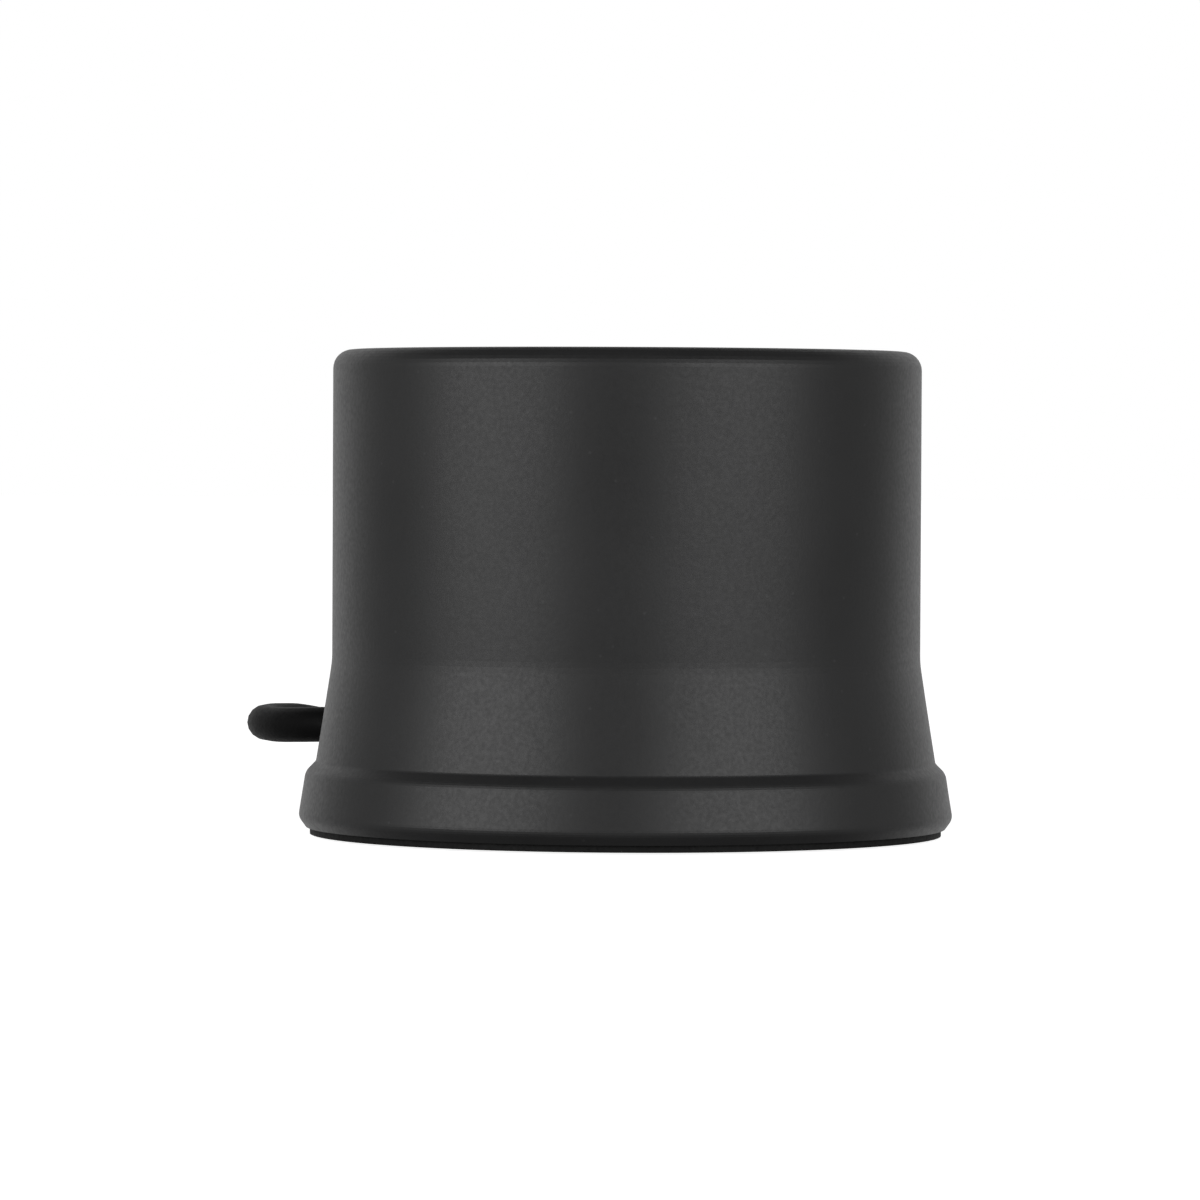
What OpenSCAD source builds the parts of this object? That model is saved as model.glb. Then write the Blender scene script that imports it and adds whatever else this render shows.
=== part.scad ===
// Sensor body of a cup anemometer, with its cup rotor taken off: a drum-shaped housing on a
// flared skirt, a ball-bearing spindle that ends in a recessed well in the top, a slotted disc
// and optical pickup inside, and a lead that ends in a round screw-on plug.
// Millimetres, +Z up, origin at the centre of the foot pad's underside.

/* [Housing] */
// Diameter of the straight barrel
barrel_d = 84; // [80:1:88]
// Height of the whole body, foot pad included
body_h = 69; // [68:0.5:74]
// Round on the top outer edge
top_round = 2.7; // [1:0.1:3.5]
// Height at which the skirt starts to flare
flare_z = 24.6; // [20:0.2:28]
// Slope of the skirt and of the base flange, in degrees from upright
flare_angle = 9; // [6:0.5:10]
// Height of the flange's shoulder, at its upper corner
shoulder_top_z = 10.3; // [10:0.1:10.6]
// How far the base flange stands out from the skirt
flange_step = 1.23; // [0.8:0.01:1.6]
// Height of the bevel under the flange's edge
bevel_h = 1.44; // [1:0.01:2]
// Slope of that bevel, in degrees from upright
bevel_angle = 36; // [30:1:45]
// Thickness of the barrel's wall
wall = 3; // [2.5:0.1:3.5]

/* [Rotor well and bearing carrier] */
// Diameter of the well in which the rotor's hub turns
well_d = 40; // [36:1:42]
// Depth of the well
well_depth = 13; // [12:0.5:14]
// Diameter of the carrier's flange, let flush into the top
carrier_flange_d = 64; // [63:0.5:66]
// Thickness of the carrier's flange
carrier_flange_t = 4; // [3:0.5:4.5]
// Outer diameter of the carrier's bearing tube
carrier_tube_d = 24; // [22:0.5:26]

/* [Spindle and bearings] */
// Diameter of the spindle in the bearings
spindle_d = 5; // [5:0.1:5]
// Diameter of the spindle at the rotor seat
seat_d = 4; // [3.5:0.1:4.5]
// How far the spindle's tip stays below the rim
tip_below_rim = 1.5; // [1:0.5:3]
// Outer diameter of the ball bearings
bearing_d = 16; // [16:1:16]
// Width of the ball bearings
bearing_w = 5; // [5:1:5]
// Number of balls in each bearing
ball_count = 8; // [6:1:9]

/* [Pickup] */
// Diameter of the slotted disc
disc_d = 30; // [28:1:31]
// Number of slots in the disc
slot_count = 24; // [12:1:30]
// Diameter of the circuit board
board_d = 64; // [60:1:65]

/* [Base] */
// Diameter of the foot pad
pad_d = 90.2; // [86:0.1:90.2]
// Thickness of the foot pad
pad_t = 1; // [1:0.1:1]
// Thickness of the base plate
base_t = 5; // [4:0.5:5]
// Pitch circle of the threaded mounting holes
mount_pcd = 50; // [46:1:54]
// Diameter of the threaded mounting holes, over the thread
mount_hole_d = 5; // [4:0.5:5]

/* [Lead and plug] */
// Diameter of the lead
lead_d = 5.2; // [5.2:0.1:5.2]
// Direction in which the lead leaves the skirt, in degrees from +X
lead_azimuth = 145; // [145:1:145]
// Height at which the lead leaves the skirt
lead_z = 14.1; // [14.1:0.1:14.1]
// Outer diameter of the plug's knurled ring
ring_d = 14.4; // [14:0.1:14.4]

/* [Hidden] */
$fn = 96;

// Radial gap between a bolt's thread and its hole, and between a part and its seat
slip = 0.05;
// Overlap that lets a cutter pass clean through a face
cut = 0.5;

// Heights along the body
base_z = pad_t;
base_top_z = base_z + base_t;
well_floor_z = body_h - well_depth;
carrier_flange_z = body_h - carrier_flange_t;
carrier_floor_z = well_floor_z - 3;
top_wall_z = body_h - 8;
upper_bearing_z = well_floor_z - 2 - bearing_w;
lower_bearing_z = 30;
carrier_bottom_z = 26;
board_z = base_top_z + 6;
board_t = 1.6;
board_top_z = board_z + board_t;
disc_z = 20;
disc_t = 1;
spindle_bottom_z = 16;
spindle_top_z = body_h - tip_below_rim;

// Radii
barrel_r = barrel_d / 2;
bore_r = barrel_r - wall;
base_seat_r = 41.2;
carrier_body_r = 26;
carrier_bore_r = bearing_d / 2;
spindle_r = spindle_d / 2;
seat_r = seat_d / 2;
shaft_hole_r = 6.4;
lead_r = lead_d / 2;

// Screw circles
base_screw_r = 37;
carrier_screw_r = 29;
standoff_r = 27;

// Direction in which the lead leaves, and the distances from the axis along it
boot_inner = 36.5;
boot_tip = 52;
tail_end = 33;

// Outer profile of the housing: straight skirt and flange lines at one slope
slope = tan(flare_angle);
skirt_shoulder_r = barrel_r + (flare_z - shoulder_top_z) * slope;
shoulder_low_z = shoulder_top_z - flange_step / (1 - slope);
flange_top_r = skirt_shoulder_r + flange_step / (1 - slope);
bevel_z = base_z + bevel_h;
bevel_r = flange_top_r + (shoulder_low_z - bevel_z) * slope;

// Route of the lead's free end, from the boot's tip to the coil's first turn, and from the
// coil's last turn to the back of the plug
exit_route = [
    [-42.68, 29.88, 14.1], [-44.5, 31.16, 14.1], [-48.4, 34.8, 13.9], [-51.7, 39.4, 13.7],
    [-53.8, 44.8, 13.7], [-54.2, 50.8, 13.7], [-52.4, 57.4, 13.6], [-49, 63.4, 13.2],
    [-45.2, 69.2, 11.8], [-43.3, 75.3, 8.5], [-42.6, 81.7, 4.6], [-42.5, 88, 2.6]
];
plug_route = [
    [-42.5, 88, 18.2], [-42.6, 94, 18.2], [-42.8, 100, 17.8], [-42.9, 106, 16.3],
    [-42.8, 112, 13.7], [-42.5, 118, 10.9], [-42.2, 123.5, 8.7], [-42, 129, 7.5],
    [-42, 134, 7.3], [-42, 139, 7.3]
];

// Coil: centre, radius at the middle of the turns, and turns side by side and on each other
coil_centre = [-7, 88, 0];
coil_r = 30.3;
coil_columns = 3;
coil_layers = 4;

// Plug: its axis runs along +Y from the lead to the pins
plug_x = -42;
plug_z = 7.3;
plug_back_y = 139;

// ---------- shapes that more than one part uses ----------

function unit(v) = v / norm(v);

// Arc that rounds the corner at b, between a and c, with radius r in n steps
function corner_arc(a, b, c, r, n) =
    let (
        u = unit(a - b),
        v = unit(c - b),
        half = acos(u * v) / 2,
        centre = b + unit(u + v) * r / sin(half),
        start = b + u * r / tan(half) - centre,
        stop = b + v * r / tan(half) - centre,
        from = atan2(start[1], start[0]),
        turn = (atan2(stop[1], stop[0]) - from + 540) % 360 - 180
    )
    [for (i = [0:n]) centre + r * [cos(from + turn * i / n), sin(from + turn * i / n)]];

function flat_part(p) = [p[0], p[1]];

// Outline through corners [x, y, radius, steps], each rounded where its radius is above 0
function rounded(corners) = [
    for (i = [0:len(corners) - 1])
        let (
            n = len(corners),
            here = corners[i],
            before = flat_part(corners[(i + n - 1) % n]),
            after = flat_part(corners[(i + 1) % n])
        )
        each (here[2] > 0
            ? corner_arc(before, flat_part(here), after, here[2], here[3])
            : [flat_part(here)])
];

// Tube swept along a route of points, closed at both ends
module swept(route, r, sides = 10) {
    last = len(route) - 1;
    function heading(i) = unit(route[min(i + 1, last)] - route[max(i - 1, 0)]);
    function across(i) = unit(cross(heading(i), [0, 0, 1]));
    function upright(i) = cross(across(i), heading(i));
    rings = [
        for (i = [0:last], k = [0:sides - 1])
            route[i] + r * (cos(360 * k / sides) * across(i) + sin(360 * k / sides) * upright(i))
    ];
    faces = concat(
        [[for (k = [0:sides - 1]) k]],
        [for (i = [0:last - 1], k = [0:sides - 1])
            let (a = i * sides, n = (k + 1) % sides)
            [a + k, a + sides + k, a + sides + n, a + n]],
        [[for (k = [sides - 1:-1:0]) last * sides + k]]
    );
    polyhedron(rings, faces);
}

// Plain ring
module ring(outer_r, inner_r, z, h) {
    translate([0, 0, z])
        difference() {
            cylinder(r = outer_r, h = h);
            translate([0, 0, -cut]) cylinder(r = inner_r, h = h + 2 * cut);
        }
}

// Ring of round section
module torus(centre_r, section_r, z) {
    translate([0, 0, z])
        rotate_extrude() translate([centre_r, 0]) circle(r = section_r, $fn = 24);
}

// Children copied round the axis at radius r
module around(count, r, first = 0) {
    for (i = [0:count - 1])
        rotate(first + i * 360 / count) translate([r, 0, 0]) children();
}

// Countersunk screw with a hexagon socket, head up at z = 0
module countersunk_screw(d, length) {
    head_r = d * 0.92;
    difference() {
        union() {
            cylinder(h = d * 0.55, r1 = d / 2, r2 = head_r);
            translate([0, 0, -length + d * 0.55]) cylinder(r = d / 2, h = length - d * 0.55);
        }
        translate([0, 0, d * 0.15]) cylinder(d = d * 0.65, h = d, $fn = 6);
    }
}

// Hole for that screw, sunk below the same plane
module countersunk_hole(d, length) {
    head_r = d * 0.92 + slip;
    cylinder(h = d * 0.55 + slip, r1 = d / 2 + slip, r2 = head_r);
    translate([0, 0, -length]) cylinder(r = d / 2 + slip, h = length + slip);
}

// Pan-head screw with a cross slot, seat at z = 0
module pan_screw(d, length) {
    difference() {
        union() {
            cylinder(r1 = d * 0.95, r2 = d * 0.7, h = d * 0.6);
            translate([0, 0, -length]) cylinder(r = d / 2, h = length + cut);
        }
        for (a = [0, 90])
            rotate(a) translate([-d * 0.6, -d * 0.11, d * 0.3]) cube([d * 1.2, d * 0.22, d]);
    }
}

// Children turned so that +X runs along the lead's way out, at the lead's height
module along_lead() {
    rotate(lead_azimuth) translate([0, 0, lead_z]) rotate([0, 90, 0]) children();
}

// ---------- housing ----------

// Turned drum, skirt and flange in one piece, with bosses inside for the base screws
module housing() {
    color("#2e2e2f")
    difference() {
        union() {
            rotate_extrude($fn = 180)
                polygon(rounded([
                    [base_seat_r, base_z, 0, 0],
                    [bevel_r - bevel_h * tan(bevel_angle), base_z, 0, 0],
                    [bevel_r, bevel_z, 1.6, 4],
                    [flange_top_r, shoulder_low_z, 2, 4],
                    [skirt_shoulder_r, shoulder_top_z, 0.8, 3],
                    [barrel_r, flare_z, 15, 3],
                    [barrel_r, body_h, top_round, 8],
                    [carrier_flange_d / 2 + slip, body_h, 0, 0],
                    [carrier_flange_d / 2 + slip, carrier_flange_z, 0, 0],
                    [carrier_body_r + slip, carrier_flange_z, 0, 0],
                    [carrier_body_r + slip, top_wall_z, 0, 0],
                    [bore_r, top_wall_z, 2, 4],
                    [bore_r, base_top_z, 0, 0],
                    [base_seat_r, base_top_z, 0, 0]
                ]));
            around(4, base_screw_r) translate([0, 0, base_top_z]) cylinder(r = 4, h = 10, $fn = 48);
        }
        around(4, base_screw_r)
            translate([0, 0, base_top_z - cut]) cylinder(r = 1.5 + slip, h = 6.5, $fn = 32);
        around(4, carrier_screw_r, 45)
            translate([0, 0, top_wall_z - cut]) cylinder(r = 1.25 + slip, h = 5, $fn = 32);
        along_lead() translate([0, 0, 34]) cylinder(r = 3.6 + slip, h = 14, $fn = 48);
    }
}

// ---------- bearing carrier ----------

// Turned carrier: flange, well for the rotor's hub, and the tube that holds both bearings
module bearing_carrier() {
    lip_r = shaft_hole_r + 1;
    tube_r = carrier_tube_d / 2;
    flange_r = carrier_flange_d / 2;
    color("#262627")
    difference() {
        rotate_extrude($fn = 128)
            polygon(rounded([
                [carrier_bore_r, carrier_bottom_z, 0, 0],
                [tube_r, carrier_bottom_z, 0.5, 2],
                [tube_r, carrier_floor_z, 2, 4],
                [carrier_body_r, carrier_floor_z, 1, 3],
                [carrier_body_r, carrier_flange_z, 0, 0],
                [flange_r, carrier_flange_z, 0, 0],
                [flange_r, body_h, 0.4, 2],
                [well_d / 2, body_h, 0.6, 3],
                [well_d / 2, well_floor_z, 1.5, 4],
                [lip_r, well_floor_z, 0, 0],
                [lip_r, well_floor_z + 1.5, 0.2, 2],
                [shaft_hole_r, well_floor_z + 1.5, 0.2, 2],
                [shaft_hole_r, upper_bearing_z + bearing_w, 0, 0],
                [carrier_bore_r, upper_bearing_z + bearing_w, 0, 0]
            ]));
        around(4, carrier_screw_r, 45)
            translate([0, 0, body_h - 1.375]) countersunk_hole(2.5, 4);
        ring(carrier_bore_r + 0.4, carrier_bore_r - cut, 27.7, 1.2);
        ring(carrier_body_r + cut, carrier_body_r - 1.1, 62.3, 1.4);
    }
}

// O-ring in the groove of the carrier's body
module carrier_seal() {
    color("#161616") torus(carrier_body_r - 0.5, 0.5, 63);
}

module carrier_screws() {
    color("#3a3a3c")
    around(4, carrier_screw_r, 45)
        translate([0, 0, body_h - 1.375]) countersunk_screw(2.5, 7.2);
}

// ---------- spindle and what turns with it ----------

// Ground steel spindle: Ø7 between the bearings, Ø5 in them and under the slinger, and thinner
// at the rotor seat, with a flat near the tip for the rotor's grub screw
module spindle() {
    middle_r = 3.5;
    shoulder_z = well_floor_z + 3.2;
    color("#c9ccd0")
    difference() {
        rotate_extrude($fn = 64)
            polygon(rounded([
                [0, spindle_bottom_z, 0, 0],
                [spindle_r, spindle_bottom_z, 0.4, 2],
                [spindle_r, lower_bearing_z + bearing_w, 0, 0],
                [middle_r, lower_bearing_z + bearing_w, 0, 0],
                [middle_r, upper_bearing_z, 0, 0],
                [spindle_r, upper_bearing_z, 0, 0],
                [spindle_r, shoulder_z, 0, 0],
                [seat_r, shoulder_z, 0, 0],
                [seat_r, spindle_top_z, 0.5, 3],
                [0, spindle_top_z, 0, 0]
            ]));
        ring(spindle_r + cut, spindle_r - 0.3, 29.2, 0.7);
        translate([seat_r - 0.4, -seat_r, spindle_top_z - 3.5]) cube([cut + 1, 2 * seat_r, 4]);
    }
}

// Umbrella that throws rain off the shaft hole, pressed on the spindle over the carrier's lip
module rain_slinger() {
    slinger_r = 9;
    color("#1d1d1e")
    rotate_extrude()
        polygon(rounded([
            [spindle_r, well_floor_z + 1.2, 0, 0],
            [3.6, well_floor_z + 1.2, 0, 0],
            [3.6, well_floor_z + 2.2, 0, 0],
            [slinger_r - 0.9, well_floor_z + 2.2, 0, 0],
            [slinger_r - 0.9, well_floor_z + 0.6, 0, 0],
            [slinger_r, well_floor_z + 0.6, 0, 0],
            [slinger_r, well_floor_z + 2.6, 0.5, 3],
            [3.8, well_floor_z + 3.2, 0, 0],
            [spindle_r, well_floor_z + 3.2, 0, 0]
        ]));
}

// Retaining ring in the spindle's groove, under the lower bearing
module spindle_circlip() {
    color("#8e9196")
    difference() {
        ring(3.7, spindle_r - 0.3, 29.3, 0.55);
        translate([0, -1, 29]) cube([5, 2, 1.2]);
    }
}

// ---------- ball bearings ----------

race_pitch_r = 5.25;
ball_r = 1.35;
groove_r = ball_r + 0.05;

module outer_ring(z) {
    difference() {
        ring(carrier_bore_r - slip, race_pitch_r + 1, z, bearing_w);
        torus(race_pitch_r, groove_r, z + bearing_w / 2);
    }
}

module inner_ring(z) {
    difference() {
        ring(race_pitch_r - 1, spindle_r, z, bearing_w);
        torus(race_pitch_r, groove_r, z + bearing_w / 2);
    }
}

// Ring-shaped cage with a window for each ball
module cage(z) {
    difference() {
        ring(race_pitch_r + 0.3, race_pitch_r - 0.3, z + bearing_w / 2 - 1.7, 3.4);
        around(ball_count, race_pitch_r)
            translate([-1, 0, z + bearing_w / 2]) rotate([0, 90, 0]) cylinder(r = groove_r, h = 2);
    }
}

module balls(z) {
    around(ball_count, race_pitch_r)
        translate([0, 0, z + bearing_w / 2]) sphere(r = ball_r, $fn = 32);
}

module shields(z) {
    for (level = [0.15, bearing_w - 0.35])
        ring(race_pitch_r + 1, race_pitch_r - 0.9, z + level, 0.2);
}

module upper_outer_ring() { color("#b9bcc0") outer_ring(upper_bearing_z); }
module upper_inner_ring() { color("#b9bcc0") inner_ring(upper_bearing_z); }
module upper_cage() { color("#c09a4a") cage(upper_bearing_z); }
module upper_balls() { color("#dfe2e5") balls(upper_bearing_z); }
module upper_shields() { color("#9fa2a6") shields(upper_bearing_z); }
module lower_outer_ring() { color("#b9bcc0") outer_ring(lower_bearing_z); }
module lower_inner_ring() { color("#b9bcc0") inner_ring(lower_bearing_z); }
module lower_cage() { color("#c09a4a") cage(lower_bearing_z); }
module lower_balls() { color("#dfe2e5") balls(lower_bearing_z); }
module lower_shields() { color("#9fa2a6") shields(lower_bearing_z); }

// Disc spring that pushes the lower outer ring up, and the ring that holds it in the tube
module preload_washer() {
    color("#8e9196")
    rotate_extrude()
        polygon([[6.4, 29.6], [7.8, 28.9], [7.8, 29.3], [6.4, 30]]);
}

module bearing_circlip() {
    color("#8e9196")
    difference() {
        ring(carrier_bore_r + 0.35, carrier_bore_r - 1.4, 27.85, 0.95);
        translate([0, -1.5, 27]) cube([12, 3, 3]);
    }
}

// ---------- pickup ----------

// Thin disc with a ring of slots that passes through the optical pickup
module slotted_disc() {
    color("#4a4c50")
    difference() {
        ring(disc_d / 2, spindle_r, disc_z, disc_t);
        around(slot_count, disc_d / 2 - 3.2)
            translate([0, -0.75, disc_z - cut]) cube([2.2, 1.5, disc_t + 2 * cut]);
    }
}

module disc_hub() {
    color("#c3b06a")
    difference() {
        ring(5, spindle_r, disc_z + disc_t, 4.4);
        translate([0, 0, disc_z + disc_t + 2.2]) rotate([0, 90, 0])
            cylinder(r = 1 + slip, h = 6, $fn = 32);
    }
}

module hub_grub_screw() {
    color("#55575b")
    translate([spindle_r + slip, 0, disc_z + disc_t + 2.2]) rotate([0, 90, 0])
        difference() {
            cylinder(r = 1, h = 2.2, $fn = 32);
            translate([0, 0, 1.2]) cylinder(r = 0.5, h = 2, $fn = 6);
        }
}

// Fork-shaped light barrier on the board, with the disc's rim between its arms
module optical_pickup() {
    pickup_w = 6;
    color("#151516")
    translate([0, -pickup_w / 2, 0])
        difference() {
            translate([11.5, 0, board_top_z]) cube([8, pickup_w, 23.6 - board_top_z]);
            translate([11, -cut, disc_z - 0.9]) cube([5, pickup_w + 2 * cut, disc_t + 1.8]);
        }
}

// ---------- circuit board ----------

module circuit_board() {
    color("#1f5b36")
    difference() {
        translate([0, 0, board_z]) cylinder(d = board_d, h = board_t);
        around(4, standoff_r)
            translate([0, 0, board_z - cut]) cylinder(r = 1.25 + slip, h = board_t + 2 * cut, $fn = 32);
    }
}

module board_chip() {
    color("#18181a")
    translate([-5, -19, board_top_z]) cube([7, 7, 1.1]);
}

module board_capacitor() {
    color("#5d6270")
    translate([16, -15, board_top_z]) cylinder(r = 2.5, h = 5.4, $fn = 48);
}

// Row of chip resistors
module board_resistors() {
    color("#6b5a45")
    for (i = [0:5])
        translate([-2 + i * 2.8, 17, board_top_z]) cube([1.25, 2, 0.5]);
}

// Hexagonal pillars with a stud that screws into the base plate
module board_standoffs() {
    color("#c3a75a")
    around(4, standoff_r)
        difference() {
            union() {
                translate([0, 0, base_top_z]) cylinder(r = 2.8, h = board_z - base_top_z, $fn = 6);
                translate([0, 0, base_top_z - 3]) cylinder(r = 1.25, h = 3 + cut, $fn = 32);
            }
            translate([0, 0, board_z - 5]) cylinder(r = 1.25 + slip, h = 5 + cut, $fn = 32);
        }
}

module board_screws() {
    color("#a9acb0")
    around(4, standoff_r) translate([0, 0, board_top_z]) pan_screw(2.5, 5.5);
}

// Four-way terminal block where the lead's wires end
terminal_r = 22;
terminal_pitch = 2.54;

module terminal_block() {
    color("#2c6a45")
    rotate(lead_azimuth)
        difference() {
            translate([terminal_r - 3, -5.6, board_top_z]) cube([6, 11.2, 7]);
            for (i = [-1.5:1.5]) {
                translate([terminal_r, i * terminal_pitch, board_top_z + 4.4])
                    cylinder(r = 1.05, h = 4, $fn = 32);
                translate([terminal_r + 0.5, i * terminal_pitch, board_top_z + 2.2])
                    rotate([0, 90, 0]) cylinder(r = 0.7, h = 4, $fn = 32);
            }
        }
}

module terminal_screws() {
    color("#a9acb0")
    rotate(lead_azimuth)
        for (i = [-1.5:1.5])
            translate([terminal_r, i * terminal_pitch, board_top_z + 4.4])
                difference() {
                    cylinder(r = 1, h = 1.6, $fn = 32);
                    translate([-1.2, -0.2, 1]) cube([2.4, 0.4, 1]);
                }
}

// Four insulated wires from the end of the lead's jacket to the terminal block
module lead_wires() {
    wire_r = 0.6;
    color("#7a4a28")
    rotate(lead_azimuth)
        for (i = [-1.5:1.5])
            swept([
                [tail_end - 0.15, i * 1.3, lead_z + 1],
                [tail_end - 2, i * 1.5, lead_z + 1.3],
                [tail_end - 4, i * 1.9, lead_z + 1.8],
                [tail_end - 6, i * 2.3, lead_z + 1.8],
                [terminal_r + 3.9, i * terminal_pitch, board_top_z + 2.2],
                [terminal_r + 0.6, i * terminal_pitch, board_top_z + 2.2]
            ], wire_r, 8);
}

// ---------- base ----------

// Plate that closes the housing from below, with four bosses for the mounting threads
module base_plate() {
    plate_r = base_seat_r - 0.1;
    color("#333335")
    difference() {
        union() {
            translate([0, 0, base_z]) cylinder(r = plate_r, h = base_t, $fn = 128);
            around(4, mount_pcd / 2, 45)
                translate([0, 0, base_top_z - cut]) cylinder(r = 5, h = 4 + cut, $fn = 64);
        }
        around(4, mount_pcd / 2, 45)
            translate([0, 0, base_z - cut]) cylinder(d = mount_hole_d, h = 8 + cut, $fn = 64);
        around(4, base_screw_r)
            translate([0, 0, base_z + 1.65]) mirror([0, 0, 1]) countersunk_hole(3, 8);
        around(4, standoff_r)
            translate([0, 0, base_top_z - 3.2]) cylinder(r = 1.25 + slip, h = 4, $fn = 32);
        ring(plate_r + cut, plate_r - 1.3, base_z + 1.8, 1.7);
    }
}

// O-ring round the edge of the base plate
module base_seal() {
    color("#161616") torus(base_seat_r - 0.68, 0.66, base_z + 2.65);
}

module base_screws() {
    color("#a9acb0")
    around(4, base_screw_r)
        translate([0, 0, base_z + 1.65]) mirror([0, 0, 1]) countersunk_screw(3, 9.5);
}

// Rubber pad stuck under the body, with clearance for the mounting bolts
module foot_pad() {
    color("#141414")
    difference() {
        cylinder(d = pad_d, h = pad_t, $fn = 180);
        around(4, mount_pcd / 2, 45)
            translate([0, 0, -cut]) cylinder(d = mount_hole_d + 1.4, h = pad_t + 2 * cut, $fn = 64);
    }
}

// ---------- lead ----------

// Moulded boot: a collar inside the wall, a neck through it and a tapered sleeve outside
module strain_relief() {
    color("#1a1a1b")
    along_lead()
        rotate_extrude($fn = 64)
            polygon([
                [lead_r, boot_inner], [4, boot_inner], [4, 38.4], [3.6, 38.4], [3.6, 44.2],
                [4, 44.6], [3.9, 46.2], [3.2, boot_tip - 0.4], [3, boot_tip], [lead_r, boot_tip]
            ]);
}

// The lead's jacket inside the boot and the housing
module lead_tail() {
    color("#1c1c1d")
    along_lead() translate([0, 0, tail_end]) cylinder(r = lead_r, h = boot_tip - tail_end);
}

// Crimped ring that keeps the lead from being pulled out
module crimp_ring() {
    color("#a9acb0")
    along_lead()
        rotate_extrude($fn = 48)
            polygon(rounded([
                [lead_r, tail_end + 0.8, 0, 0], [3.4, tail_end + 0.8, 0.3, 2],
                [3.4, boot_inner - 0.2, 0.3, 2], [lead_r, boot_inner - 0.2, 0, 0]
            ]));
}

// The lead's free stretches, one from the boot to the coil and one from the coil to the plug
module lead() {
    color("#1c1c1d") {
        swept(exit_route, lead_r);
        swept(plug_route, lead_r);
    }
}

// The coil's outer shape
module lead_coil() {
    inner_r = coil_r - lead_d * coil_columns / 2;
    outer_r = coil_r + lead_d * coil_columns / 2;
    top_h = coil_layers * lead_d;
    corner = 2;
    color("#1c1c1d")
    translate(coil_centre)
        rotate_extrude($fn = 96)
            polygon(rounded([
                [inner_r, 0, corner, 3], [outer_r, 0, corner, 3],
                [outer_r, top_h, corner, 3], [inner_r, top_h, corner, 3]
            ]));
}

// Hook-and-loop strap round the coil's turns
module coil_tie() {
    tie_w = 10;
    tie_t = 0.8;
    span = lead_d * coil_columns;
    height = lead_d * coil_layers;
    color("#26282c")
    translate(coil_centre) rotate(-60) translate([coil_r, 0, 0])
        difference() {
            translate([-span / 2 - tie_t, -tie_w / 2, 0])
                cube([span + 2 * tie_t, tie_w, height + tie_t]);
            translate([-span / 2, -tie_w, tie_t])
                cube([span, 2 * tie_w, height - tie_t]);
        }
}

// ---------- plug ----------

// Children placed with +Z from the back of the plug towards its pins
module along_plug() {
    translate([plug_x, plug_back_y, plug_z]) rotate([-90, 0, 0]) children();
}

// Moulded body with its own bend relief
module plug_body() {
    color("#1d1d1e")
    along_plug()
        rotate_extrude($fn = 64)
            polygon(rounded([
                [0, 0, 0, 0], [3.2, 0, 0.4, 2], [4.3, 12, 0, 0], [5.9, 14, 1, 3],
                [5.9, 24, 0.8, 3], [4.8, 25.5, 0, 0], [4.8, 31, 0, 0], [0, 31, 0, 0]
            ]));
}

// Knurled ring with a threaded nose, free to turn on the plug's body
module plug_ring() {
    grooves = 30;
    ring_r = ring_d / 2;
    color("#b4b6b9")
    along_plug()
        difference() {
            rotate_extrude($fn = 96)
                polygon(rounded([
                    [4.85, 26, 0, 0], [ring_r - 0.4, 26, 0, 0], [ring_r, 26.4, 0, 0],
                    [ring_r, 33.2, 0, 0], [ring_r - 0.4, 33.6, 0, 0], [6, 33.6, 0, 0],
                    [6, 40.4, 0.4, 2], [4.85, 40.4, 0, 0]
                ]));
            around(grooves, ring_r + 0.25)
                translate([0, 0, 27]) cylinder(r = 0.5, h = 6, $fn = 16);
        }
}

// Insulator that carries the pins, with its locating key
module plug_insert() {
    color("#101011")
    along_plug() {
        difference() {
            translate([0, 0, 31]) cylinder(r = 4.5, h = 3, $fn = 64);
            around(4, 1.8, 45) translate([0, 0, 30]) cylinder(r = 0.5 + slip, h = 6, $fn = 24);
            translate([0, 4.2, 30]) cylinder(r = 0.8, h = 6, $fn = 32);
        }
    }
}

module plug_pins() {
    color("#d8b95c")
    along_plug()
        around(4, 1.8, 45)
            translate([0, 0, 31])
                rotate_extrude($fn = 24) polygon([[0, 0], [0.5, 0], [0.5, 7.6], [0.2, 8.2], [0, 8.2]]);
}

housing();
bearing_carrier();
carrier_seal();
carrier_screws();
spindle();
rain_slinger();
spindle_circlip();
upper_outer_ring();
upper_inner_ring();
upper_cage();
upper_balls();
upper_shields();
lower_outer_ring();
lower_inner_ring();
lower_cage();
lower_balls();
lower_shields();
preload_washer();
bearing_circlip();
slotted_disc();
disc_hub();
hub_grub_screw();
optical_pickup();
circuit_board();
board_chip();
board_capacitor();
board_resistors();
board_standoffs();
board_screws();
terminal_block();
terminal_screws();
lead_wires();
base_plate();
base_seal();
base_screws();
foot_pad();
strain_relief();
lead_tail();
crimp_ring();
lead();
lead_coil();
coil_tie();
plug_body();
plug_ring();
plug_insert();
plug_pins();
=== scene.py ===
"""The sensor body of a cup anemometer with its rotor off, and its lead coiled behind it.

Metres, +Z up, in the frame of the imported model. Each section makes one piece or group of
pieces, in the order in which the body is set up, wired, closed and finished.
"""
import math

import bmesh
import bpy
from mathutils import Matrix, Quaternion, Vector


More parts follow.
